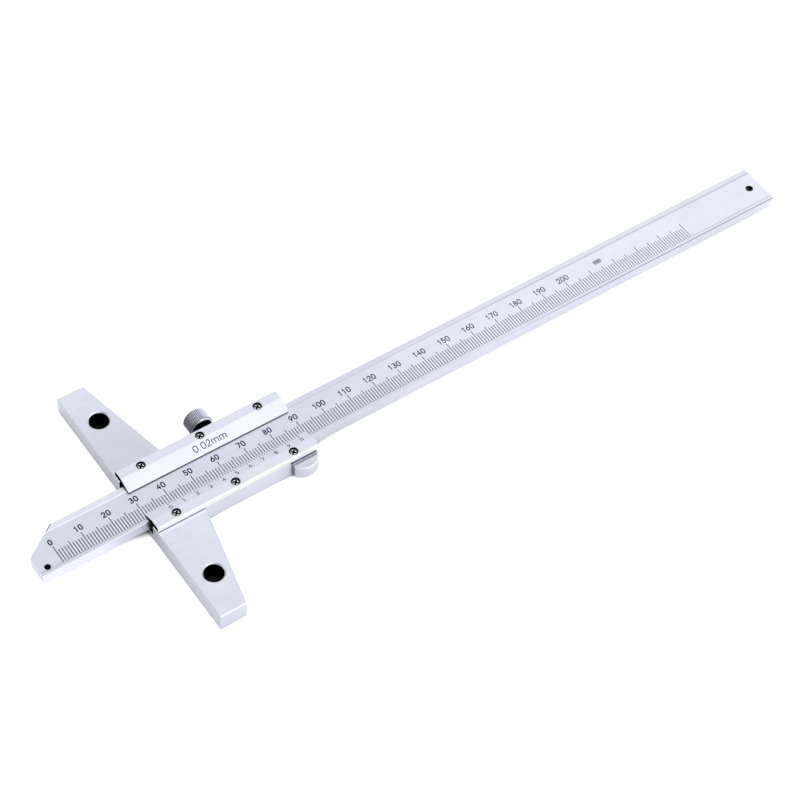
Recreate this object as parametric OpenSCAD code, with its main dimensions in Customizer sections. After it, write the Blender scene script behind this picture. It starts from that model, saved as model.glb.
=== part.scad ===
// Vernier depth gauge, 200 mm range, 100 mm base, lying on its underside.
// Origin: on the underside, midway between the two fixing holes of the base.
// The beam slides along X through the slider, and its tip points to -X.

/* [Beam] */
// Length of the beam
beam_l = 294.8; // [280:0.1:320]
// Width of the beam
beam_w = 16.2; // [15:0.1:20]
// Thickness of the beam over its rims
beam_t = 4.3; // [3.6:0.1:5]
// Depth of the graduated face below the rims
scale_recess = 0.25; // [0.1:0.05:0.4]
// Width of the slope between each rim and the graduated face
rim_slope_w = 0.3; // [0.1:0.05:0.4]
// Width of the rim along the upper edge
upper_rim_w = 2; // [1.2:0.1:2.4]
// Width of the rim along the lower edge
lower_rim_w = 1.3; // [0.8:0.05:1.5]
// Bevel along the beam's long edges
beam_bevel = 0.2; // [0.1:0.05:0.4]
// Width of the measuring tip
tip_w = 8.3; // [5:0.1:10]
// Length of the slanted cut behind the tip
tip_cut_l = 11.6; // [6:0.1:20]
// Radius of the corners at the far end
far_corner_r = 1; // [0.5:0.1:3]
// Diameter of the small hole near the tip
tip_hole_d = 2.1; // [1.5:0.1:3]
// Distance of that hole from the tip
tip_hole_inset = 3; // [2.5:0.1:5]
// Distance of that hole from the lower edge
tip_hole_edge = 2.6; // [2:0.1:4]
// Depth reading, from the reference face out to the tip
reading = 37.8; // [0:0.1:180]

/* [Base] */
// Length of the base across the beam
base_l = 100; // [90:1:150]
// Thickness of the base
base_t = 7.2; // [6.8:0.1:10]
// Width of the base at its ends
base_end_w = 9.7; // [9:0.1:11]
// Width of the base where its wings meet the slider
base_root_w = 17.8; // [15:0.1:22]
// Distance between the two fixing holes
hole_spacing = 70; // [60:0.5:80]
// Diameter of the fixing holes
hole_d = 6.6; // [4:0.1:6.8]
// Distance of the fixing holes from the reference face
hole_setback = 7; // [6.2:0.1:7.2]
// Countersink at each end of a fixing hole
hole_bevel = 0.45; // [0.1:0.05:0.6]
// Bevel along the edges of the base
base_bevel = 0.3; // [0.1:0.05:0.5]
// Width of the relief beside the beam at the reference face
mouth_relief_w = 2.1; // [1:0.1:2.5]
// Depth of that relief behind the reference face
mouth_relief_d = 1.5; // [0.8:0.1:2.5]

/* [Slider frame] */
// Length of the slider from the reference face to its rear
frame_l = 60.5; // [59:0.1:70]
// Thickness of each side wall beside the beam
wall_w = 4.95; // [4.6:0.05:6]
// Height of the slider's top above the wings
frame_rise = 0.3; // [0.1:0.05:0.6]
// Distance of the slider's raised top behind the reference face
rail_setback = 0.6; // [0.4:0.05:1]
// Height of the slider's underside above the base's underside
frame_lift = 0.8; // [0.4:0.1:1.2]
// Radius of the rear corners
rear_corner_r = 1.2; // [0.6:0.1:2]

/* [Thumb rest] */
// Radius of the half-round thumb rest
rest_r = 5.4; // [4:0.1:5.5]
// Distance of its centre from the slider's rear
rest_inset = 5.5; // [5.5:0.1:10]
// Depth of its centre inside the slider's side
rest_embed = 1.5; // [0.5:0.1:2]
// Drop of its top below the slider's top
rest_drop = 1.3; // [0.6:0.1:2.5]
// Height of its underside above the slider's underside
rest_lift = 0.5; // [0.1:0.1:1.5]
// Radius of its rounded rim
rest_rim_r = 0.4; // [0.2:0.1:1]

/* [Cover plates] */
// Thickness of the cover plate and the vernier plate
plate_t = 2.1; // [1.8:0.1:2.6]
// Distance of the plates' front ends behind the reference face
plate_setback = 0.2; // [0.1:0.05:0.6]
// Width of the flat band along a plate's outer edge
band_w = 3.6; // [3:0.05:3.8]
// Thickness of a plate at its inner edge
plate_edge_t = 0.25; // [0.15:0.05:0.4]
// Reach of the upper cover over the beam
cover_reach = 3.4; // [2.5:0.1:3.8]
// Reach of the vernier plate over the beam
vernier_reach = 3.05; // [2.5:0.05:3.3]
// Bevel along a plate's outer top edge
plate_bevel = 0.3; // [0.1:0.05:0.4]

/* [Cover screws] */
// Distance of the outer screws from the reference face and from the rear
screw_inset = 8.35; // [6:0.05:9]
// Distance of the screws from the slider's side
screw_edge = 2.3; // [2:0.05:2.6]
// Diameter of the screws' thread
screw_d = 1.6; // [1.2:0.1:1.8]
// Length of the screws below their heads
screw_l = 4.5; // [3.5:0.1:5]
// Diameter of the screw heads
head_d = 2.4; // [2.2:0.05:2.5]
// Height of the screw heads
head_h = 0.75; // [0.7:0.05:1.05]
// Diameter of the counterbores around the heads
counterbore_d = 3; // [2.9:0.05:3.2]
// Bevel around the counterbores
counterbore_bevel = 0.15; // [0.05:0.05:0.2]
// Plate material left under a screw head
head_seat = 0.7; // [0.5:0.05:0.9]
// Width of the slots of the cross recess
cross_w = 0.65; // [0.25:0.05:0.8]
// Length of the slots of the cross recess
cross_l = 1.8; // [1:0.1:2]
// Depth of the cross recess
cross_depth = 0.5; // [0.3:0.05:0.6]
// Angle between the cross recess and the beam
cross_angle = 45; // [0:5:90]

/* [Lock screw] */
// Distance of the lock screw behind the middle plate screw
lock_shift = 3.85; // [3:0.05:10]
// Diameter of the knurled knob
knob_d = 8.5; // [6.5:0.1:8.8]
// Length of the knob
knob_l = 5.6; // [4:0.1:8]
// Gap between the knob and the slider's side
knob_gap = 2.5; // [1:0.1:4]
// Bevel at the knob's ends
knob_bevel = 0.6; // [0.3:0.1:1]
// Number of straight knurls around the knob
knurl_count = 40; // [30:2:48]
// Depth of the knurls
knurl_depth = 0.18; // [0.1:0.02:0.25]
// Diameter of the threaded stem
stem_d = 3; // [2.5:0.1:3.2]

/* [Leaf spring] */
// Thickness of the leaf spring
leaf_t = 0.5; // [0.3:0.05:0.6]
// Distance of the leaf spring's ends from the slider's ends
leaf_inset = 7.1; // [5:0.1:12]

/* [Stop screw] */
// Distance of the stop screw from the beam's far end
stop_inset = 4.8; // [3.5:0.1:6]
// Diameter of the stop screw's shank
stop_d = 1.5; // [1.2:0.1:1.7]
// Diameter of the stop screw's head
stop_head_d = 2.1; // [2:0.05:2.2]
// Diameter of the counterbore around that head
stop_counterbore_d = 2.7; // [2.6:0.05:3]
// Height of the stop screw's head
stop_head_h = 0.9; // [0.6:0.05:1]
// Depth of its counterbore below the graduated face
stop_counterbore_depth = 1.5; // [1.1:0.05:1.8]
// Length that stands out below the beam and meets the slider
stop_proud = 1.6; // [1:0.1:2]

/* [Fits] */
// Gap between the beam and each side of its channel
side_clear = 0.05; // [0.02:0.01:0.1]
// Gap above and below the beam in its channel
lift_clear = 0.03; // [0.02:0.01:0.08]
// Radial gap of a thread in its hole
thread_clear = 0.03; // [0.02:0.01:0.06]
// Gap around the leaf spring in its pocket
leaf_clear = 0.05; // [0.03:0.01:0.1]

/* [Hidden] */

// Along the beam
face_x = -hole_setback;
rear_x = face_x + frame_l;
screw_pitch = (frame_l - 2 * screw_inset) / 2;
lock_x = screw_x(2) + lock_shift;
leaf_l = frame_l - 2 * leaf_inset;
tip_x = face_x - reading;
far_x = tip_x + beam_l;
plate_x = face_x + plate_setback;
rail_x = face_x + rail_setback;

// Across the beam
beam_y = beam_w / 2;
channel_y = beam_y + side_clear;
side_y = channel_y + wall_w;
screw_y = side_y - screw_edge;
pocket_y = channel_y + leaf_t + leaf_clear;
knob_y = side_y + knob_gap;

// Upwards
frame_top = base_t + frame_rise;
beam_top = frame_top - lift_clear;
beam_bottom = beam_top - beam_t;
scale_z = beam_top - scale_recess;
channel_z = beam_bottom - lift_clear;
plate_top = frame_top + plate_t;
seat_z = frame_top + head_seat;
lock_z = beam_top - beam_t / 2;
rest_top = frame_top - rest_drop;
leaf_h = frame_top - channel_z - leaf_clear;

over = 1;
round_fn = 64;
hole_fn = 48;
small_fn = 32;

function screw_x(i) = face_x + screw_inset + (i - 1) * screw_pitch;

// Extrudes a section drawn in Y and Z along X, from x0 over a length.
module along_x(x0, length) {
    translate([x0, 0, 0])
        rotate([90, 0, 90])
            linear_extrude(length)
                children();
}

// Plan of a slider part between y0 and y1 with rounded rear corners.
module rounded_plan(x0, y0, y1, r0, r1) {
    polygon([
        [x0, y0], [rear_x - r0, y0], [rear_x, y0 + r0],
        [rear_x, y1 - r1], [rear_x - r1, y1], [x0, y1]
    ]);
    translate([rear_x - r0, y0 + r0])
        circle(r0, $fn = small_fn);
    translate([rear_x - r1, y1 - r1])
        circle(r1, $fn = small_fn);
}

// Beam: bar with a recessed graduated face between two rims, and a cut tip.
module beam_section() {
    b = beam_bevel;
    polygon([
        [-beam_y, beam_bottom + b], [-beam_y + b, beam_bottom],
        [beam_y - b, beam_bottom], [beam_y, beam_bottom + b],
        [beam_y, beam_top - b], [beam_y - b, beam_top],
        [beam_y - upper_rim_w, beam_top], [beam_y - upper_rim_w - rim_slope_w, scale_z],
        [-beam_y + lower_rim_w + rim_slope_w, scale_z], [-beam_y + lower_rim_w, beam_top],
        [-beam_y + b, beam_top], [-beam_y, beam_top - b]
    ]);
}

module beam_plan() {
    r = far_corner_r;
    polygon([
        [tip_x, -beam_y], [far_x - r, -beam_y], [far_x, -beam_y + r],
        [far_x, beam_y - r], [far_x - r, beam_y],
        [tip_x + tip_cut_l, beam_y], [tip_x, -beam_y + tip_w]
    ]);
    for (s = [-1, 1])
        translate([far_x - r, s * (beam_y - r)])
            circle(r, $fn = small_fn);
}

module beam() {
    stop_x = far_x - stop_inset;
    end_cut = (scale_recess + beam_bevel) * sqrt(2);
    color("gainsboro")
        difference() {
            intersection() {
                along_x(tip_x - over, beam_l + 2 * over)
                    beam_section();
                translate([0, 0, beam_bottom - over])
                    linear_extrude(beam_t + 2 * over)
                        beam_plan();
            }
            translate([tip_x + tip_hole_inset, -beam_y + tip_hole_edge, beam_bottom - over])
                cylinder(h = beam_t + 2 * over, d = tip_hole_d, $fn = hole_fn);
            translate([stop_x, 0, beam_bottom - over])
                cylinder(h = beam_t + 2 * over, r = stop_d / 2 + thread_clear, $fn = hole_fn);
            translate([stop_x, 0, scale_z - stop_counterbore_depth])
                cylinder(h = beam_t, d = stop_counterbore_d, $fn = hole_fn);
            translate([far_x, 0, beam_top])
                rotate([0, 45, 0])
                    cube([end_cut, beam_w + 2 * over, end_cut], center = true);
        }
}

// Stop screw: its end stands out below the beam and meets the slider's rear.
module stop_screw() {
    seat = scale_z - stop_counterbore_depth;
    bottom = beam_bottom - stop_proud;
    color("silver")
        translate([far_x - stop_inset, 0, 0])
            difference() {
                union() {
                    translate([0, 0, bottom])
                        cylinder(h = seat + stop_head_h / 2 - bottom, d = stop_d, $fn = hole_fn);
                    translate([0, 0, seat])
                        cylinder(h = stop_head_h, d = stop_head_d, $fn = hole_fn);
                }
                translate([0, 0, seat + stop_head_h])
                    cube([2 * stop_head_d, cross_w, stop_head_h], center = true);
            }
}

// Slider frame: base wings, channel for the beam and thumb rest in one piece.
module base_plan() {
    end_x = face_x + base_end_w;
    root_x = face_x + base_root_w;
    end_y = base_l / 2;
    polygon([
        [face_x, -end_y], [end_x, -end_y], [root_x, -side_y],
        [root_x, side_y], [end_x, end_y], [face_x, end_y]
    ]);
}

module base_body() {
    difference() {
        hull() {
            linear_extrude(base_t)
                offset(delta = -base_bevel)
                    base_plan();
            translate([0, 0, base_bevel])
                linear_extrude(base_t - 2 * base_bevel)
                    base_plan();
        }
        for (s = [-1, 1])
            translate([0, s * hole_spacing / 2, 0])
                fixing_hole();
    }
}

module fixing_hole() {
    r = hole_d / 2;
    translate([0, 0, -over])
        cylinder(h = base_t + 2 * over, r = r, $fn = round_fn);
    translate([0, 0, base_t - hole_bevel])
        cylinder(h = 2 * hole_bevel, r1 = r, r2 = r + 2 * hole_bevel, $fn = round_fn);
    translate([0, 0, -hole_bevel])
        cylinder(h = 2 * hole_bevel, r1 = r + 2 * hole_bevel, r2 = r, $fn = round_fn);
}

module thumb_rest() {
    bottom = frame_lift + rest_lift;
    height = rest_top - bottom;
    inner_r = rest_r - rest_rim_r;
    translate([rear_x - rest_inset, -side_y + rest_embed, bottom])
        rotate_extrude($fn = round_fn) {
            square([inner_r, height]);
            translate([0, rest_rim_r])
                square([rest_r, height - 2 * rest_rim_r]);
            for (z = [rest_rim_r, height - rest_rim_r])
                translate([inner_r, z])
                    circle(rest_rim_r, $fn = small_fn);
        }
}

module slider_frame() {
    color("lightgray")
        difference() {
            union() {
                base_body();
                translate([0, 0, frame_lift])
                    linear_extrude(frame_top - frame_lift)
                        rounded_plan(rail_x, -side_y, side_y, rear_corner_r, rear_corner_r);
                thumb_rest();
            }
            translate([face_x - over, -channel_y, channel_z])
                cube([frame_l + 2 * over, 2 * channel_y, beam_t + 2 * over]);
            translate([face_x - over, -channel_y - mouth_relief_w, channel_z])
                cube([mouth_relief_d + over, 2 * (channel_y + mouth_relief_w), beam_t + 2 * over]);
            translate([face_x + leaf_inset - leaf_clear, 0, channel_z])
                cube([leaf_l + 2 * leaf_clear, pocket_y, beam_t + 2 * over]);
            for (s = [-1, 1])
                for (i = [1 : 3])
                    translate([screw_x(i), s * screw_y, seat_z - screw_l - thread_clear])
                        cylinder(h = screw_l, r = screw_d / 2 + thread_clear, $fn = hole_fn);
            translate([lock_x, beam_y, lock_z])
                rotate([-90, 0, 0])
                    cylinder(h = wall_w + over, r = stem_d / 2 + thread_clear, $fn = hole_fn);
        }
}

// Cover plate section on the upper side: flat band, bevel and thin inner edge.
module plate_section(reach) {
    polygon([
        [side_y, frame_top], [side_y, plate_top - plate_bevel],
        [side_y - plate_bevel, plate_top], [side_y - band_w, plate_top],
        [beam_y - reach, frame_top + plate_edge_t], [beam_y - reach, frame_top]
    ]);
}

module plate(reach) {
    inner_y = beam_y - reach;
    rim_r = counterbore_d / 2;
    difference() {
        intersection() {
            along_x(plate_x, rear_x - plate_x)
                plate_section(reach);
            translate([0, 0, frame_top - over])
                linear_extrude(plate_t + 2 * over)
                    rounded_plan(plate_x, inner_y, side_y, rear_corner_r / 2, rear_corner_r);
        }
        for (i = [1 : 3])
            translate([screw_x(i), screw_y, 0]) {
                translate([0, 0, frame_top - over])
                    cylinder(h = plate_t, r = screw_d / 2 + thread_clear, $fn = hole_fn);
                translate([0, 0, seat_z])
                    cylinder(h = plate_t, r = rim_r, $fn = hole_fn);
                translate([0, 0, plate_top - counterbore_bevel])
                    cylinder(h = 2 * counterbore_bevel, r1 = rim_r, r2 = rim_r + 2 * counterbore_bevel, $fn = hole_fn);
            }
    }
}

module upper_cover() {
    color("whitesmoke")
        plate(cover_reach);
}

module vernier_plate() {
    color("whitesmoke")
        mirror([0, 1, 0])
            plate(vernier_reach);
}

// Cross-recessed cheese-head screw, seated in a plate on the side s of the beam.
module plate_screw(i, s) {
    color("silver")
        translate([screw_x(i), s * screw_y, seat_z])
            difference() {
                union() {
                    translate([0, 0, -screw_l])
                        cylinder(h = screw_l + head_h / 2, d = screw_d, $fn = hole_fn);
                    cylinder(h = head_h, d = head_d, $fn = hole_fn);
                }
                for (a = [cross_angle, cross_angle + 90])
                    rotate([0, 0, a])
                        translate([-cross_l / 2, -cross_w / 2, head_h - cross_depth])
                            cube([cross_l, cross_w, head_h]);
            }
}

module cover_screw_1() { plate_screw(1, 1); }
module cover_screw_2() { plate_screw(2, 1); }
module cover_screw_3() { plate_screw(3, 1); }
module vernier_screw_1() { plate_screw(1, -1); }
module vernier_screw_2() { plate_screw(2, -1); }
module vernier_screw_3() { plate_screw(3, -1); }

// Leaf spring that takes the play out of the slide, in its pocket in the frame.
module leaf_spring() {
    color("darkkhaki")
        translate([face_x + leaf_inset, channel_y, channel_z])
            cube([leaf_l, leaf_t, leaf_h]);
}

// Lock screw: its stem presses the leaf spring against the beam.
module knurl_plan() {
    outer_r = knob_d / 2;
    inner_r = outer_r - knurl_depth;
    polygon([
        for (i = [0 : 2 * knurl_count - 1])
            let (r = i % 2 == 0 ? outer_r : inner_r, a = i * 180 / knurl_count)
                [r * cos(a), r * sin(a)]
    ]);
}

module lock_screw() {
    smooth_r = knob_d / 2 - knurl_depth;
    tip_r = smooth_r - knob_bevel;
    color("silver")
        translate([lock_x, 0, lock_z])
            rotate([-90, 0, 0]) {
                translate([0, 0, pocket_y])
                    cylinder(h = knob_y - pocket_y + knob_bevel, d = stem_d, $fn = hole_fn);
                translate([0, 0, knob_y])
                    cylinder(h = knob_bevel, r1 = tip_r, r2 = smooth_r, $fn = round_fn);
                translate([0, 0, knob_y + knob_bevel])
                    linear_extrude(knob_l - 2 * knob_bevel)
                        knurl_plan();
                translate([0, 0, knob_y + knob_l - knob_bevel])
                    cylinder(h = knob_bevel, r1 = smooth_r, r2 = tip_r, $fn = round_fn);
            }
}

beam();
stop_screw();
slider_frame();
upper_cover();
vernier_plate();
cover_screw_1();
cover_screw_2();
cover_screw_3();
vernier_screw_1();
vernier_screw_2();
vernier_screw_3();
leaf_spring();
lock_screw();
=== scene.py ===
import math

import bpy
from mathutils import Matrix, Vector


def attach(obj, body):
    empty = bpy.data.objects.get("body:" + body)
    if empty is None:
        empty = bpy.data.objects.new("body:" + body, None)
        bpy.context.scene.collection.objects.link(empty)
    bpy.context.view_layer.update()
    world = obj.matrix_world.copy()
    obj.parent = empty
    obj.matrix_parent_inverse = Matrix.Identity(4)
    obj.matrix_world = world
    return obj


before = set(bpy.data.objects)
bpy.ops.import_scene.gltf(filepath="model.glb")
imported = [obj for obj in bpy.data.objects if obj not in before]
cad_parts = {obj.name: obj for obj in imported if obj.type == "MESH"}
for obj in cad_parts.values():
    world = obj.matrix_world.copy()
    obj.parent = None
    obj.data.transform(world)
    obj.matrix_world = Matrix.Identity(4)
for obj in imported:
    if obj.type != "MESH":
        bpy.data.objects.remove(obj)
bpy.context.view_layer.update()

MM = 0.001

# Places on the part, in millimetres, as in the CAD source
SCALE_ZERO_X = -36.75
SCALE_FOOT_Y = -6.4
SCALE_Z = 7.22
COVER_EDGE_Y = 4.7
VERNIER_EDGE_Y = -5.05
PLATE_EDGE_Z = 7.75
COVER_SLOPE = math.atan2(1.85, 4.8)
VERNIER_SLOPE = math.atan2(1.85, 4.45)
VERNIER_ZERO_X = 1.05
SCREW_XS = (1.35, 23.25, 45.15)
SCREW_Y = 10.8
SCREW_BORE_R = 1.52
SCREW_MIDDLE_R = 0.9
SCREW_RECESS_Z = 8.92
STOP_SCREW_X = 245.2
STOP_BORE_R = 1.37
STOP_RECESS_Z = 6.59
TIP_HOLE = (-41.8, -5.5, 1.07)
BASE_HOLE_Y = 35
BASE_HOLE_R = 3.33

# The beam's slanted cut: a point on it and the direction out of the beam
CUT_X, CUT_Y = -44.8, 0.2
CUT_OUT = (-0.563, 0.827)

# Engraving, in millimetres
MARK_W = 0.29
MARK_TAPER = 0.0003
MARK_L, FIVE_L, TEN_L = 4.75, 5.75, 6.65
STROKE_W = 0.44
STROKE_TAPER = 0.0006
ENGRAVING_H = 0.012
SCALE_LAST = 250
LABEL_LAST = 200
UNIT_AT = 215
VERNIER_COUNT = 50
VERNIER_STEP = 0.98
VERNIER_MARK_W = 0.16
VERNIER_MARK_L, VERNIER_FIVE_L = 1.15, 1.75

# Directions out of the part's faces
TO_TIP = (-1, 0, 0)
TO_FRONT = (0, -1, 0)
TO_TOP = (0, 0, 1)
FRONT_BEVEL = (0, -0.707, 0.707)
TIP_BEVEL = (-0.707, 0, 0.707)
KNOB_DARK_SIDE = (-0.995, 0, -0.1)

# Grain of the ground steel, as its noise is stretched along X, Y and Z
ALONG_X = (0.03, 1, 1)
ALONG_X_SHORT = (0.15, 1, 1)
ALONG_Y = (1, 0.3, 1)
ALONG_Z = (1, 1, 0.2)
EVEN = (1, 1, 1)
GRAIN_SCALE = 900.0
PATCH_SCALE = 90.0
INK_SCALE = 700.0
STREAK = 0.03
PATCH = 0.02
# Near-black diffuse colour: painted shade for bores, gaps and end faces that lie in deep shade
SHADE_BLACK = (0.002, 0.002, 0.006, 1)

# Sockets of a Mix node that mixes colours
MIX_FACTOR, MIX_A, MIX_B, MIX_RESULT = 0, 6, 7, 2

# Floor, in metres, and what it gives to the camera and to the steel
FLOOR_REACH = 3.0
FLOOR_DROP = 0.00005
FLOOR_COLOR = (0.9, 0.9, 0.9)
FLOOR_TO_CAMERA = 0.7
FLOOR_TO_STEEL = (0.19, 0.38)

# Soft lights in the world: direction, degrees of full light, degrees of none, strength
ROOM_LEVEL = 0.5
SOFT_LIGHTS = (
    ((0.35, -0.25, 0.9), 8, 35, 0.27),
    ((0.377, -0.79, 0.48), 10, 22, 0.5),
    ((-0.79, 0.48, 0.38), 10, 30, 0.25),
    ((0.0, -0.65, 0.75), 25, 37, 0.44),
    ((0.75, 0.45, 0.5), 40, 90, 0.44),
    ((0.75, 0.45, 0.5), 18, 30, 0.16),
    ((0.87, 0.42, 0.25), 10, 26, 0.5),
)

# Camera at the photograph's place, with the photograph's angle of view
LENS_MM = 106.47
CAMERA_FORWARD = (0.37698096, 0.48159410, -0.79117159)
CAMERA_RIGHT = (0.82137427, -0.56859069, 0.04526520)
CAMERA_PLACE = (-0.20546232, -0.38410935, 0.62041634)


def add_camera():
    data = bpy.data.cameras.new("camera")
    data.sensor_width = 36
    data.lens = LENS_MM
    data.clip_start = 0.05
    data.clip_end = 20
    camera = bpy.data.objects.new("camera", data)
    bpy.context.scene.collection.objects.link(camera)
    forward = Vector(CAMERA_FORWARD).normalized()
    right = Vector(CAMERA_RIGHT).normalized()
    up = right.cross(forward)
    turn = Matrix((right, up, -forward)).transposed().to_4x4()
    camera.matrix_world = Matrix.Translation(Vector(CAMERA_PLACE)) @ turn
    bpy.context.scene.camera = camera


# Shader helpers
def new_material(name):
    material = bpy.data.materials.new(name)
    material.use_nodes = True
    tree = material.node_tree
    tree.nodes.clear()
    return material, tree


def link(tree, a, b):
    tree.links.new(a, b)


def math_node(tree, operation, a, b=None):
    node = tree.nodes.new("ShaderNodeMath")
    node.operation = operation
    for socket, value in zip(node.inputs, (a, b)):
        if value is None:
            continue
        if isinstance(value, (int, float)):
            socket.default_value = value
        else:
            link(tree, value, socket)
    return node.outputs[0]


def noise(tree, stretch, scale, detail=3.0, roughness=0.6):
    """Noise in object coordinates, stretched by a factor along each axis."""
    coordinates = tree.nodes.new("ShaderNodeTexCoord")
    mapping = tree.nodes.new("ShaderNodeMapping")
    mapping.inputs["Scale"].default_value = stretch
    texture = tree.nodes.new("ShaderNodeTexNoise")
    texture.inputs["Scale"].default_value = scale
    texture.inputs["Detail"].default_value = detail
    texture.inputs["Roughness"].default_value = roughness
    link(tree, coordinates.outputs["Object"], mapping.inputs["Vector"])
    link(tree, mapping.outputs["Vector"], texture.inputs["Vector"])
    return texture.outputs["Fac"]


def spread(tree, value, low, high):
    """Maps noise between about 0.3 and 0.7 to low and high."""
    node = tree.nodes.new("ShaderNodeMapRange")
    node.inputs["From Min"].default_value = 0.3
    node.inputs["From Max"].default_value = 0.7
    node.inputs["To Min"].default_value = low
    node.inputs["To Max"].default_value = high
    link(tree, value, node.inputs["Value"])
    return node.outputs["Result"]


def places(tree):
    """X, Y and Z on the part, in millimetres."""
    coordinates = tree.nodes.new("ShaderNodeTexCoord")
    scale = tree.nodes.new("ShaderNodeVectorMath")
    scale.operation = "SCALE"
    scale.inputs["Scale"].default_value = 1 / MM
    split = tree.nodes.new("ShaderNodeSeparateXYZ")
    link(tree, coordinates.outputs["Object"], scale.inputs[0])
    link(tree, scale.outputs["Vector"], split.inputs[0])
    return split.outputs


def both(tree, a, b):
    """Product of two masks or values."""
    return math_node(tree, "MULTIPLY", a, b)


def either(tree, *masks):
    """The strongest of several masks."""
    mask = masks[0]
    for other in masks[1:]:
        mask = math_node(tree, "MAXIMUM", mask, other)
    return mask


def inside(tree, *bounds):
    """1 where each value lies between its two bounds, 0 elsewhere."""
    mask = 1
    for value, low, high in bounds:
        for operation, bound in (("GREATER_THAN", low), ("LESS_THAN", high)):
            if bound is not None:
                mask = both(tree, mask, math_node(tree, operation, value, bound))
    return mask


def around(tree, spot, x, y, radius):
    """1 within a radius of an upright axis, 0 elsewhere."""
    dx = math_node(tree, "SUBTRACT", spot["X"], x)
    dy = math_node(tree, "SUBTRACT", spot["Y"], y)
    square = math_node(tree, "ADD", both(tree, dx, dx), both(tree, dy, dy))
    return math_node(tree, "LESS_THAN", square, radius * radius)


def facing(tree, axis, start=0.8, end=0.95):
    """1 where the surface faces along an axis, 0 where it is turned away."""
    geometry = tree.nodes.new("ShaderNodeNewGeometry")
    dot = tree.nodes.new("ShaderNodeVectorMath")
    dot.operation = "DOT_PRODUCT"
    link(tree, geometry.outputs["Normal"], dot.inputs[0])
    dot.inputs[1].default_value = axis
    return ramp(tree, dot.outputs["Value"], start, end, 0, 1)


def crevice(tree, distance, shut=0.2, open_=0.6, samples=8):
    """1 deep in a corner or gap, 0 on open surfaces."""
    occlusion = tree.nodes.new("ShaderNodeAmbientOcclusion")
    occlusion.samples = samples
    occlusion.inputs["Distance"].default_value = distance * MM
    return ramp(tree, occlusion.outputs["AO"], shut, open_, 1, 0)


def ramp(tree, value, start, end, low, high):
    """Smooth step of a value from low at start to high at end."""
    node = tree.nodes.new("ShaderNodeMapRange")
    node.interpolation_type = "SMOOTHSTEP"
    ends = {"From Min": start, "From Max": end, "To Min": low, "To Max": high}
    for name, number in ends.items():
        node.inputs[name].default_value = number
    link(tree, value, node.inputs["Value"])
    return node.outputs["Result"]


def fade(tree, spot, axis, zero, full):
    """0 at one place along an axis, rising smoothly to 1 at another."""
    return ramp(tree, spot[axis], zero, full, 0, 1)


def steel(name, color, roughness, grain, zones=None, black_shade=None):
    """Ground steel, with painted light and shade: its zones are darker and brighter places as
    factors on its colour, and its black masks are painted shade.
    """
    material, tree = new_material(name)
    output = tree.nodes.new("ShaderNodeOutputMaterial")
    shader = tree.nodes.new("ShaderNodeBsdfPrincipled")
    shader.inputs["Metallic"].default_value = 1.0
    fine = noise(tree, grain, GRAIN_SCALE, 4.0, 0.65)
    coarse = noise(tree, EVEN, PATCH_SCALE, 2.0)
    streaks = spread(tree, fine, 1 - STREAK, 1 + STREAK)
    patches = spread(tree, coarse, 1 - PATCH, 1 + PATCH)
    tone = both(tree, streaks, patches)
    for mask, factor in zones(tree) if zones else ():
        change = both(tree, mask, factor - 1)
        tone = both(tree, tone, math_node(tree, "ADD", change, 1))
    base = tree.nodes.new("ShaderNodeVectorMath")
    base.operation = "SCALE"
    base.inputs[0].default_value = color
    link(tree, tone, base.inputs["Scale"])
    link(tree, base.outputs["Vector"], shader.inputs["Base Color"])
    uneven = spread(tree, fine, roughness - 0.04, roughness + 0.04)
    link(tree, uneven, shader.inputs["Roughness"])
    bump = tree.nodes.new("ShaderNodeBump")
    bump.inputs["Strength"].default_value = 0.2
    bump.inputs["Distance"].default_value = 0.00001
    link(tree, fine, bump.inputs["Height"])
    link(tree, bump.outputs["Normal"], shader.inputs["Normal"])
    surface = shader.outputs["BSDF"]
    # Painted shade: black diffuse wherever the masks put the steel in deep shade
    if black_shade:
        shade_black_bsdf = tree.nodes.new("ShaderNodeBsdfDiffuse")
        shade_black_bsdf.inputs["Color"].default_value = SHADE_BLACK
        mix = tree.nodes.new("ShaderNodeMixShader")
        link(tree, black_shade(tree), mix.inputs["Fac"])
        link(tree, surface, mix.inputs[1])
        link(tree, shade_black_bsdf.outputs["BSDF"], mix.inputs[2])
        surface = mix.outputs["Shader"]
    link(tree, surface, output.inputs["Surface"])
    return material


def ink(name, near_tip, far_end, low, high):
    """Dark filling of the engraving, a little uneven, from low to high of its colour."""
    material, tree = new_material(name)
    output = tree.nodes.new("ShaderNodeOutputMaterial")
    shader = tree.nodes.new("ShaderNodeBsdfPrincipled")
    shader.inputs["Roughness"].default_value = 0.6
    shader.inputs["Specular IOR Level"].default_value = 0.1
    tone = spread(tree, noise(tree, EVEN, INK_SCALE), low, high)
    color = tree.nodes.new("ShaderNodeMix")
    color.data_type = "RGBA"
    color.inputs[MIX_A].default_value = (*near_tip, 1)
    color.inputs[MIX_B].default_value = (*far_end, 1)
    link(tree, fade(tree, places(tree), "X", 60, 180), color.inputs[MIX_FACTOR])
    base = tree.nodes.new("ShaderNodeVectorMath")
    base.operation = "SCALE"
    link(tree, color.outputs[MIX_RESULT], base.inputs[0])
    link(tree, tone, base.inputs["Scale"])
    link(tree, base.outputs["Vector"], shader.inputs["Base Color"])
    link(tree, shader.outputs["BSDF"], output.inputs["Surface"])
    return material


# Painted light and shade of each steel: masks, with a factor on the steel's colour, for places
# darker or brighter in the lighting
def past_cut(tree, spot):
    """Distance beyond the slanted cut of the beam's tip, negative on the beam."""
    along = both(tree, math_node(tree, "SUBTRACT", spot["X"], CUT_X), CUT_OUT[0])
    across = both(tree, math_node(tree, "SUBTRACT", spot["Y"], CUT_Y), CUT_OUT[1])
    return math_node(tree, "ADD", along, across)


# Painted light and shade of the beam: shade in crevices, lighter front sides and tip, highlights
# on bevels and rims, dark slopes and a dark cut edge
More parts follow.
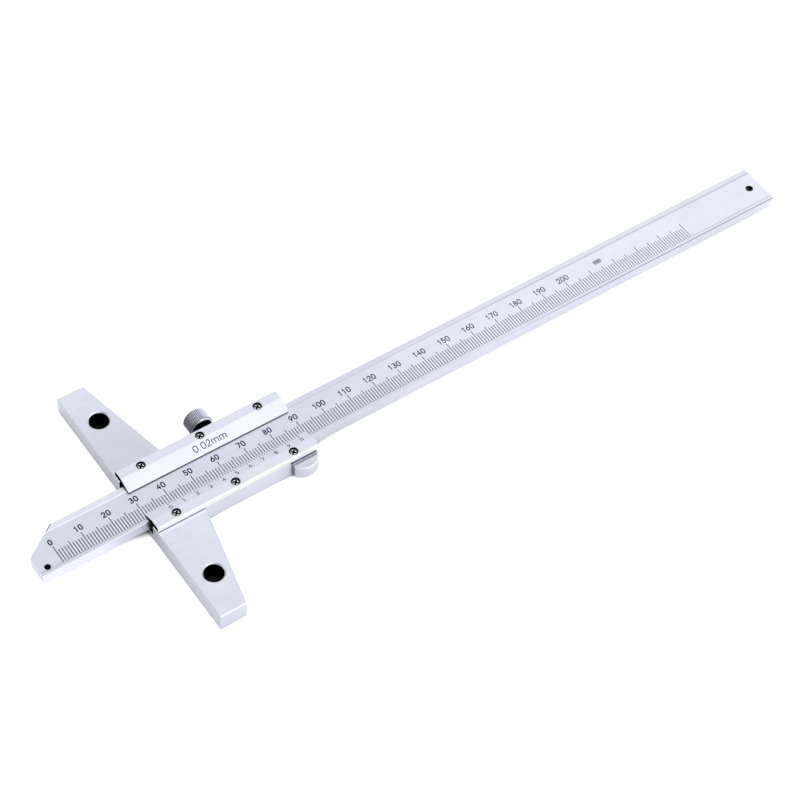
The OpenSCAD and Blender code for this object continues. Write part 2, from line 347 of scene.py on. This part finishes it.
def beam_zones(tree):
    spot = places(tree)
    x, y, z = spot["X"], spot["Y"], spot["Z"]
    side = facing(tree, TO_FRONT)
    lower_bevel = facing(tree, FRONT_BEVEL, 0.97, 0.99)
    lower_rim = inside(tree, (y, None, -6.8), (z, 7.4, None))
    lower_slope = inside(tree, (y, -6.82, -6.48), (z, 7, None))
    upper_rim = inside(tree, (y, 6.12, None), (z, 7.4, None))
    upper_slope = inside(tree, (y, 5.78, 6.12), (z, 7.23, None))
    rim_end = inside(tree, (y, 6.1, None), (past_cut(tree, spot), -0.35, None), (z, 7, None))
    return [
        (crevice(tree, 1.0), 0.6),
        (side, 1.06),
        (both(tree, side, fade(tree, spot, "X", 60, -5)), 1.12),
        (both(tree, side, fade(tree, spot, "X", 60, 100)), 1.05),
        (both(tree, lower_bevel, fade(tree, spot, "X", 60, 0)), 1.1),
        (both(tree, lower_bevel, fade(tree, spot, "X", 0, 60)), 0.85),
        (fade(tree, spot, "X", 130, 50), 0.92),
        (lower_rim, 0.94),
        (lower_slope, 0.6),
        (both(tree, lower_bevel, fade(tree, spot, "X", 120, 180)), 0.4),
        (both(tree, upper_rim, fade(tree, spot, "X", 60, 0)), 1.11),
        (both(tree, upper_rim, fade(tree, spot, "X", 30, 90)), 0.93),
        (upper_slope, 0.96),
        (both(tree, upper_slope, fade(tree, spot, "X", -20, 40)), 0.8),
        (both(tree, upper_slope, fade(tree, spot, "X", 140, 180)), 2.2),
        (fade(tree, spot, "X", 200, 225), 0.97),
        (rim_end, 0.25),
    ]


# Painted shade: the tip hole and the stop screw's bore are black
def beam_voids(tree):
    spot = places(tree)
    stop_bore = around(tree, spot, STOP_SCREW_X, 0, STOP_BORE_R)
    return either(tree, around(tree, spot, *TIP_HOLE), stop_bore)


def base_holes(tree, spot, radius):
    return [around(tree, spot, 0, y, radius) for y in (-BASE_HOLE_Y, BASE_HOLE_Y)]


# Painted shade: the base's holes and the channel's mouth are black
def frame_voids(tree):
    spot = places(tree)
    reach = math_node(tree, "ABSOLUTE", spot["Y"])
    mouth = inside(tree, (reach, None, 10.27), (spot["X"], None, -5.49), (spot["Z"], 3.12, None))
    return either(tree, *base_holes(tree, spot, BASE_HOLE_R), mouth)


# Painted light and shade of the frame: shade in crevices, dark seams under the plates and above
# the thumb rest, shaded wing and end faces, highlights on bevels, front side and rest rim
def frame_zones(tree):
    spot = places(tree)
    x, y, z = spot["X"], spot["Y"], spot["Z"]
    reach = math_node(tree, "ABSOLUTE", y)
    top, side, end = (facing(tree, axis) for axis in (TO_TOP, TO_FRONT, TO_TIP))
    upper_wing = both(tree, inside(tree, (y, 10, None)), fade(tree, spot, "Y", 50, 14))
    below_plates = inside(tree, (reach, 13.05, 13.15), (z, 7.19, 7.5), (x, None, 10.9))
    above_rest = inside(tree, (y, -13.12, -13.08), (z, 6.5, 7.5), (x, 42.7, 53.3))
    rest_corner = inside(tree, (y, -14.4, -13.12), (x, 42, 43.4))
    rest = inside(tree, (y, None, -13.12), (x, 42, 54))
    rest_top = inside(tree, (y, None, -13.12), (x, 42, 54), (z, 6.15, None))
    rest_rim = inside(tree, (y, None, -13.12), (x, 42, 54), (z, 5.82, 6.19))
    return [
        (crevice(tree, 1.5), 0.3),
        (below_plates, 0.2),
        (above_rest, 0.1),
        (rest_corner, 0.35),
        (rest, 0.9),
        (rest_top, 0.93),
        (both(tree, top, upper_wing), 0.84),
        (end, 0.96),
        (both(tree, end, fade(tree, spot, "Y", -45, -15)), 0.93),
        (both(tree, end, upper_wing), 0.9),
        (facing(tree, TIP_BEVEL, 0.97, 0.99), 1.08),
        (facing(tree, FRONT_BEVEL, 0.8, 0.95), 1.2),
        (side, 1.07),
        (both(tree, side, fade(tree, spot, "X", 34, 20)), 0.95),
        (both(tree, top, fade(tree, spot, "Y", -16, -24)), 0.97),
        (rest_rim, 1.4),
    ]


# Painted light and shade of the plates: shade in crevices, a dark line along the cover's inner
# edge, a painted highlight on the vernier plate's front side
def plate_zones(tree):
    spot = places(tree)
    cover_edge = inside(tree, (spot["Y"], 4.6, 4.72), (spot["Z"], None, 7.748))
    vernier_side = inside(tree, (spot["Y"], None, -12.75))
    return [(crevice(tree, 0.6), 0.4), (cover_edge, 0.4), (vernier_side, 1.29)]


def around_screws(tree, spot, radius):
    """1 within a radius of the axes of the six plate screws."""
    fold = {"X": spot["X"], "Y": math_node(tree, "ABSOLUTE", spot["Y"])}
    return [around(tree, fold, x, SCREW_Y, radius) for x in SCREW_XS]


# Painted shade: the plates' end faces toward the tip and the screw counterbores are black
def plate_voids(tree):
    bores = around_screws(tree, places(tree), SCREW_BORE_R)
    return either(tree, facing(tree, TO_TIP), *bores)


# Painted light and shade of the screws: shade in crevices, a darker stop screw, a dark ring round
# each head and a painted highlight in its middle
def screw_zones(tree):
    spot = places(tree)
    middles = either(tree, *around_screws(tree, spot, SCREW_MIDDLE_R))
    return [
        (crevice(tree, 1.0), 0.5),
        (inside(tree, (spot["X"], 100, None)), 0.4),
        (math_node(tree, "SUBTRACT", 1, middles), 0.3),
        (middles, 1.5),
    ]


# Painted shade: the screws are black below their recess depth
def screw_voids(tree):
    spot = places(tree)
    plates = inside(tree, (spot["Z"], None, SCREW_RECESS_Z), (spot["X"], None, 100))
    stop = inside(tree, (spot["Z"], None, STOP_RECESS_Z), (spot["X"], 100, None))
    return either(tree, plates, stop)


# Painted light and shade of the knob: a shaded side and end, a painted highlight on its bevel
# between dark lines, shade in crevices
def knob_zones(tree):
    spot = places(tree)
    bevel_edge, bevel, bevel_foot = (
        inside(tree, (spot["Y"], *span)) for span in ((16.1, 16.24), (15.85, 16.1), (15.59, 15.72))
    )
    return [
        (facing(tree, KNOB_DARK_SIDE, -0.2, 0.6), 0.5),
        (fade(tree, spot, "X", 30, 24), 0.48),
        (fade(tree, spot, "X", 28, 31), 0.8),
        (bevel_edge, 0.4),
        (bevel, 1.45),
        (bevel_foot, 0.45),
        (crevice(tree, 0.6, shut=0.1, open_=0.9), 0.5),
    ]


# Painted shade: the knob's end facing front and its inner end are black
def knob_voids(tree):
    inner_end = inside(tree, (places(tree)["Y"], None, 15.59))
    return either(tree, facing(tree, TO_FRONT), inner_end)


def dress_frame():
    beam = steel("beam_steel", (0.78, 0.797, 0.91), 0.34, ALONG_X, beam_zones, beam_voids)
    slider = steel(
        "frame_steel", (0.775, 0.792, 0.905), 0.34, ALONG_X_SHORT, frame_zones, frame_voids
    )
    plate = steel("plate_steel", (0.77, 0.787, 0.898), 0.34, ALONG_X, plate_zones, plate_voids)
    screw = steel("screw_steel", (0.62, 0.63, 0.69), 0.3, ALONG_Z, screw_zones, screw_voids)
    knob = steel("knob_steel", (0.73, 0.745, 0.86), 0.28, ALONG_Y, knob_zones, knob_voids)
    spring = steel("spring_steel", (0.60, 0.60, 0.62), 0.35, ALONG_X)
    looks = {
        "beam": beam,
        "slider_frame": slider,
        "upper_cover": plate,
        "vernier_plate": plate,
        "lock_screw": knob,
        "leaf_spring": spring,
    }
    for name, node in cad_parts.items():
        material = looks.get(name, screw)
        node.data.materials.clear()
        node.data.materials.append(material)


# Engraved marks and numerals: thin closed plates that lie on a face
class Face:
    """A flat face of the part, with its own u along the scale and v across it."""

    def __init__(self, origin, v_axis):
        self.origin = Vector(origin)
        self.u = Vector((1, 0, 0))
        self.v = Vector(v_axis).normalized()
        self.n = self.u.cross(self.v)

    def point(self, u, v, w):
        return (self.origin + self.u * u + self.v * v + self.n * w) * MM


class Engraving:
    """Collects closed thin plates on one face into one mesh."""

    def __init__(self, face):
        self.face = face
        self.points = []
        self.faces = []

    def plate(self, left, right):
        """A closed plate between a left and a right row of points."""
        first = len(self.points)
        count = len(left)
        for a, b in zip(left, right):
            for u, v in (a, b):
                self.points.append(self.face.point(u, v, 0))
                self.points.append(self.face.point(u, v, ENGRAVING_H))
        for i in range(count - 1):
            a = first + 4 * i
            b = a + 4
            self.faces.append((a + 1, a + 3, b + 3, b + 1))
            self.faces.append((a, b, b + 2, a + 2))
            self.faces.append((a, a + 1, b + 1, b))
            self.faces.append((a + 2, b + 2, b + 3, a + 3))
        last = first + 4 * (count - 1)
        self.faces.append((first, first + 2, first + 3, first + 1))
        self.faces.append((last, last + 1, last + 3, last + 2))

    def mark(self, u, v0, v1, width):
        h = width / 2
        self.plate([(u - h, v0), (u - h, v1)], [(u + h, v0), (u + h, v1)])

    def stroke(self, points, width):
        """A line of even width along the points, with rounded ends."""
        h = width / 2
        closed = points[0] == points[-1]
        left, right = [], []
        count = len(points)
        for i, (x, y) in enumerate(points):
            before = points[i - 1] if i else (points[-2] if closed else None)
            after = points[i + 1] if i < count - 1 else (points[1] if closed else None)
            steps = []
            for a, b in ((before, (x, y)), ((x, y), after)):
                if a is None or b is None:
                    continue
                d = Vector((b[0] - a[0], b[1] - a[1])).normalized()
                steps.append(d)
            d = sum(steps, Vector((0, 0))).normalized()
            grow = 1 / max(0.5, d.dot(steps[0]))
            side = Vector((-d.y, d.x)) * h * grow
            left.append((x + side.x, y + side.y))
            right.append((x - side.x, y - side.y))
        if not closed:
            first_right, first_left = self.round_end(points[0], points[1], h)
            last_left, last_right = self.round_end(points[-1], points[-2], h)
            left = first_left[::-1] + left + last_left
            right = first_right[::-1] + right + last_right
        self.plate(left, right)

    def round_end(self, end, inner, h):
        """Points of a round end, on the left and the right as seen from the inner point."""
        x, y = end
        d = Vector((x - inner[0], y - inner[1])).normalized()
        n = Vector((-d.y, d.x))
        left, right = [], []
        for angle in (25, 50, 75):
            a = math.radians(angle)
            out = d * (h * math.sin(a))
            across = n * (h * math.cos(a))
            left.append((x + out.x + across.x, y + out.y + across.y))
            right.append((x + out.x - across.x, y + out.y - across.y))
        return left, right

    def text(self, word, u, v, height, width, pitch, stroke):
        """Word centred on u, standing on v."""
        start = u - pitch * (len(word) - 1) / 2
        foot = v + stroke / 2
        for i, letter in enumerate(word):
            middle = start + i * pitch
            for line in GLYPHS[letter]:
                points = [
                    (middle + (x - 0.5) * (width - stroke), foot + y * (height - stroke))
                    for x, y in line
                ]
                self.stroke(points, stroke)

    def build(self, name, body, material):
        mesh = bpy.data.meshes.new(name)
        mesh.from_pydata(self.points, [], self.faces)
        mesh.update()
        piece = bpy.data.objects.new(name, mesh)
        bpy.context.scene.collection.objects.link(piece)
        mesh.materials.append(material)
        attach(piece, body)


def arc(cx, cy, rx, ry, start, end, steps=10):
    """Points of an elliptic arc, with its angles in degrees."""
    angles = [math.radians(start + (end - start) * i / steps) for i in range(steps + 1)]
    return [(cx + rx * math.cos(a), cy + ry * math.sin(a)) for a in angles]


def loop(cx, cy, rx, ry):
    points = arc(cx, cy, rx, ry, 0, 360, 20)
    points[-1] = points[0]
    return points


def oval():
    """Zero: two half rounds with straight sides."""
    top = arc(0.5, 0.68, 0.5, 0.32, 0, 180)
    bottom = arc(0.5, 0.32, 0.5, 0.32, 180, 360)
    return top + bottom + top[:1]


# Lines of each letter in a box from 0 to 1
GLYPHS = {
    "0": [oval()],
    "1": [[(0.22, 0.78), (0.6, 1.0), (0.6, 0.0)]],
    "2": [arc(0.5, 0.70, 0.47, 0.30, 170, -35) + [(0.0, 0.0), (1.0, 0.0)]],
    "3": [arc(0.46, 0.755, 0.42, 0.245, 150, -90) + arc(0.46, 0.255, 0.52, 0.255, 90, -150)[1:]],
    "4": [[(0.72, 0.0), (0.72, 1.0), (0.0, 0.30), (1.0, 0.30)]],
    "5": [[(0.9, 1.0), (0.16, 1.0), (0.08, 0.52)] + arc(0.48, 0.32, 0.5, 0.32, 125, -150)],
    "6": [[(0.72, 1.0), (0.10, 0.46)] + arc(0.5, 0.31, 0.5, 0.31, 150, 500, 18)],
    "7": [[(0.0, 1.0), (1.0, 1.0), (0.36, 0.0)]],
    "8": [loop(0.5, 0.76, 0.40, 0.24), loop(0.5, 0.26, 0.5, 0.26)],
    "9": [[(0.28, 0.0), (0.90, 0.54)] + arc(0.5, 0.69, 0.5, 0.31, -30, 320, 18)],
    ".": [[(0.45, 0.0), (0.55, 0.0)]],
    "m": [
        [(0.0, 0.0), (0.0, 0.72)],
        arc(0.25, 0.58, 0.25, 0.14, 180, 0, 14) + [(0.5, 0.0)],
        arc(0.75, 0.58, 0.25, 0.14, 180, 0, 14) + [(1.0, 0.0)],
    ],
}


def engrave_beam(material):
    face = Face((SCALE_ZERO_X, SCALE_FOOT_Y, SCALE_Z), (0, 1, 0))
    scale = Engraving(face)
    for i in range(SCALE_LAST + 1):
        length = TEN_L if i % 10 == 0 else FIVE_L if i % 5 == 0 else MARK_L
        scale.mark(i, 0, length, MARK_W - MARK_TAPER * i)
    scale.build("main_scale_marks", "beam", material)
    labels = Engraving(face)
    for value in range(0, LABEL_LAST + 1, 10):
        stroke = STROKE_W - STROKE_TAPER * value
        labels.text(str(value), value, 7.25, height=2.3, width=1.42, pitch=1.6, stroke=stroke)
    labels.text("mm", UNIT_AT, 7.4, height=2.2, width=1.4, pitch=1.6, stroke=0.3)
    labels.build("main_scale_numerals", "beam", material)


def engrave_plates(material):
    slope = VERNIER_SLOPE
    edge = (VERNIER_ZERO_X, VERNIER_EDGE_Y, PLATE_EDGE_Z)
    face = Face(edge, (0, math.cos(slope), -math.sin(slope)))
    marks = Engraving(face)
    for i in range(VERNIER_COUNT + 1):
        length = VERNIER_FIVE_L if i % 5 == 0 else VERNIER_MARK_L
        marks.mark(i * VERNIER_STEP, -length, -0.02, VERNIER_MARK_W)
    marks.build("vernier_marks", "slider", material)
    numerals = Engraving(face)
    for i in range(0, VERNIER_COUNT + 1, 5):
        word, u = str(i // 5 % 10), i * VERNIER_STEP + 0.1
        numerals.text(word, u, -3.9, height=1.75, width=1.05, pitch=1.3, stroke=0.24)
    numerals.build("vernier_numerals", "slider", material)
    slope = COVER_SLOPE
    edge = (SCALE_ZERO_X, COVER_EDGE_Y, PLATE_EDGE_Z)
    value = Engraving(Face(edge, (0, math.cos(slope), math.sin(slope))))
    digits = (("0", 56.25, 1.65), (".", 57.62, 1.0), ("0", 59.2, 1.65), ("2", 61.1, 1.45))
    for letter, u, width in digits:
        value.text(letter, u, 1.5, height=2.5, width=width, pitch=0, stroke=0.3)
    for u in (63.45, 66.45):
        value.text("m", u, 1.55, height=2.35, width=2.5, pitch=0, stroke=0.3)
    value.build("vernier_value", "slider", material)


# Studio: pale floor and soft light from the world
def add_floor():
    mesh = bpy.data.meshes.new("floor")
    s = FLOOR_REACH
    mesh.from_pydata([(-s, -s, 0), (s, -s, 0), (s, s, 0), (-s, s, 0)], [], [(0, 1, 2, 3)])
    floor = bpy.data.objects.new("floor", mesh)
    floor.location.z = -FLOOR_DROP
    bpy.context.scene.collection.objects.link(floor)
    material, tree = new_material("floor")
    output = tree.nodes.new("ShaderNodeOutputMaterial")
    paper = tree.nodes.new("ShaderNodeBsdfDiffuse")
    # Painted shadow on the floor: darker where it is closed in under the part, and nearly black
    # below the base's holes
    shut = crevice(tree, 10, shut=0.17, open_=0.3, samples=16)
    spot = places(tree)
    below_holes = either(tree, *base_holes(tree, spot, 3.5))
    shut = either(tree, shut, both(tree, below_holes, 0.98))
    bright = math_node(tree, "SUBTRACT", 1, shut)
    color = tree.nodes.new("ShaderNodeVectorMath")
    color.operation = "SCALE"
    color.inputs[0].default_value = FLOOR_COLOR
    link(tree, bright, color.inputs["Scale"])
    link(tree, color.outputs["Vector"], paper.inputs["Color"])
    glow = tree.nodes.new("ShaderNodeEmission")
    path = tree.nodes.new("ShaderNodeLightPath")
    seen = both(tree, path.outputs["Is Camera Ray"], FLOOR_TO_CAMERA)
    # Painted reflection: the floor glows for glossy rays, more strongly left of the part, so the
    # steel's end faces mirror a brighter floor
    card = ramp(tree, spot["X"], -12, -24, *FLOOR_TO_STEEL)
    mirrored = both(tree, path.outputs["Is Glossy Ray"], card)
    rays = math_node(tree, "ADD", seen, mirrored)
    link(tree, both(tree, rays, bright), glow.inputs["Strength"])
    total = tree.nodes.new("ShaderNodeAddShader")
    link(tree, paper.outputs[0], total.inputs[0])
    link(tree, glow.outputs[0], total.inputs[1])
    link(tree, total.outputs[0], output.inputs["Surface"])
    mesh.materials.append(material)


def soft_light(tree, direction, toward, inner, outer, strength):
    """A round soft light in the world: full within inner degrees, none beyond outer."""
    dot = tree.nodes.new("ShaderNodeVectorMath")
    dot.operation = "DOT_PRODUCT"
    link(tree, direction, dot.inputs[0])
    dot.inputs[1].default_value = Vector(toward).normalized()
    none, full = math.cos(math.radians(outer)), math.cos(math.radians(inner))
    return ramp(tree, dot.outputs["Value"], none, full, 0, strength)


def add_world():
    world = bpy.data.worlds.new("studio")
    bpy.context.scene.world = world
    world.use_nodes = True
    tree = world.node_tree
    tree.nodes.clear()
    output = tree.nodes.new("ShaderNodeOutputWorld")
    coordinates = tree.nodes.new("ShaderNodeTexCoord")
    direction = coordinates.outputs["Generated"]
    level = ROOM_LEVEL
    for light in SOFT_LIGHTS:
        level = math_node(tree, "ADD", level, soft_light(tree, direction, *light))
    path = tree.nodes.new("ShaderNodeLightPath")
    room = tree.nodes.new("ShaderNodeBackground")
    link(tree, level, room.inputs["Strength"])
    room.inputs["Color"].default_value = (1, 1, 1, 1)
    white = tree.nodes.new("ShaderNodeBackground")
    white.inputs["Color"].default_value = (1, 1, 1, 1)
    white.inputs["Strength"].default_value = 1.0
    mix = tree.nodes.new("ShaderNodeMixShader")
    link(tree, path.outputs["Is Camera Ray"], mix.inputs["Fac"])
    link(tree, room.outputs[0], mix.inputs[1])
    link(tree, white.outputs[0], mix.inputs[2])
    link(tree, mix.outputs[0], output.inputs["Surface"])


bpy.context.scene.view_settings.view_transform = "Standard"
add_camera()
dress_frame()
black = ink("mark_black", (0.009, 0.010, 0.05), (0.055, 0.057, 0.13), 0.7, 1.3)
engrave_beam(black)
engrave_plates(black)
add_floor()
add_world()
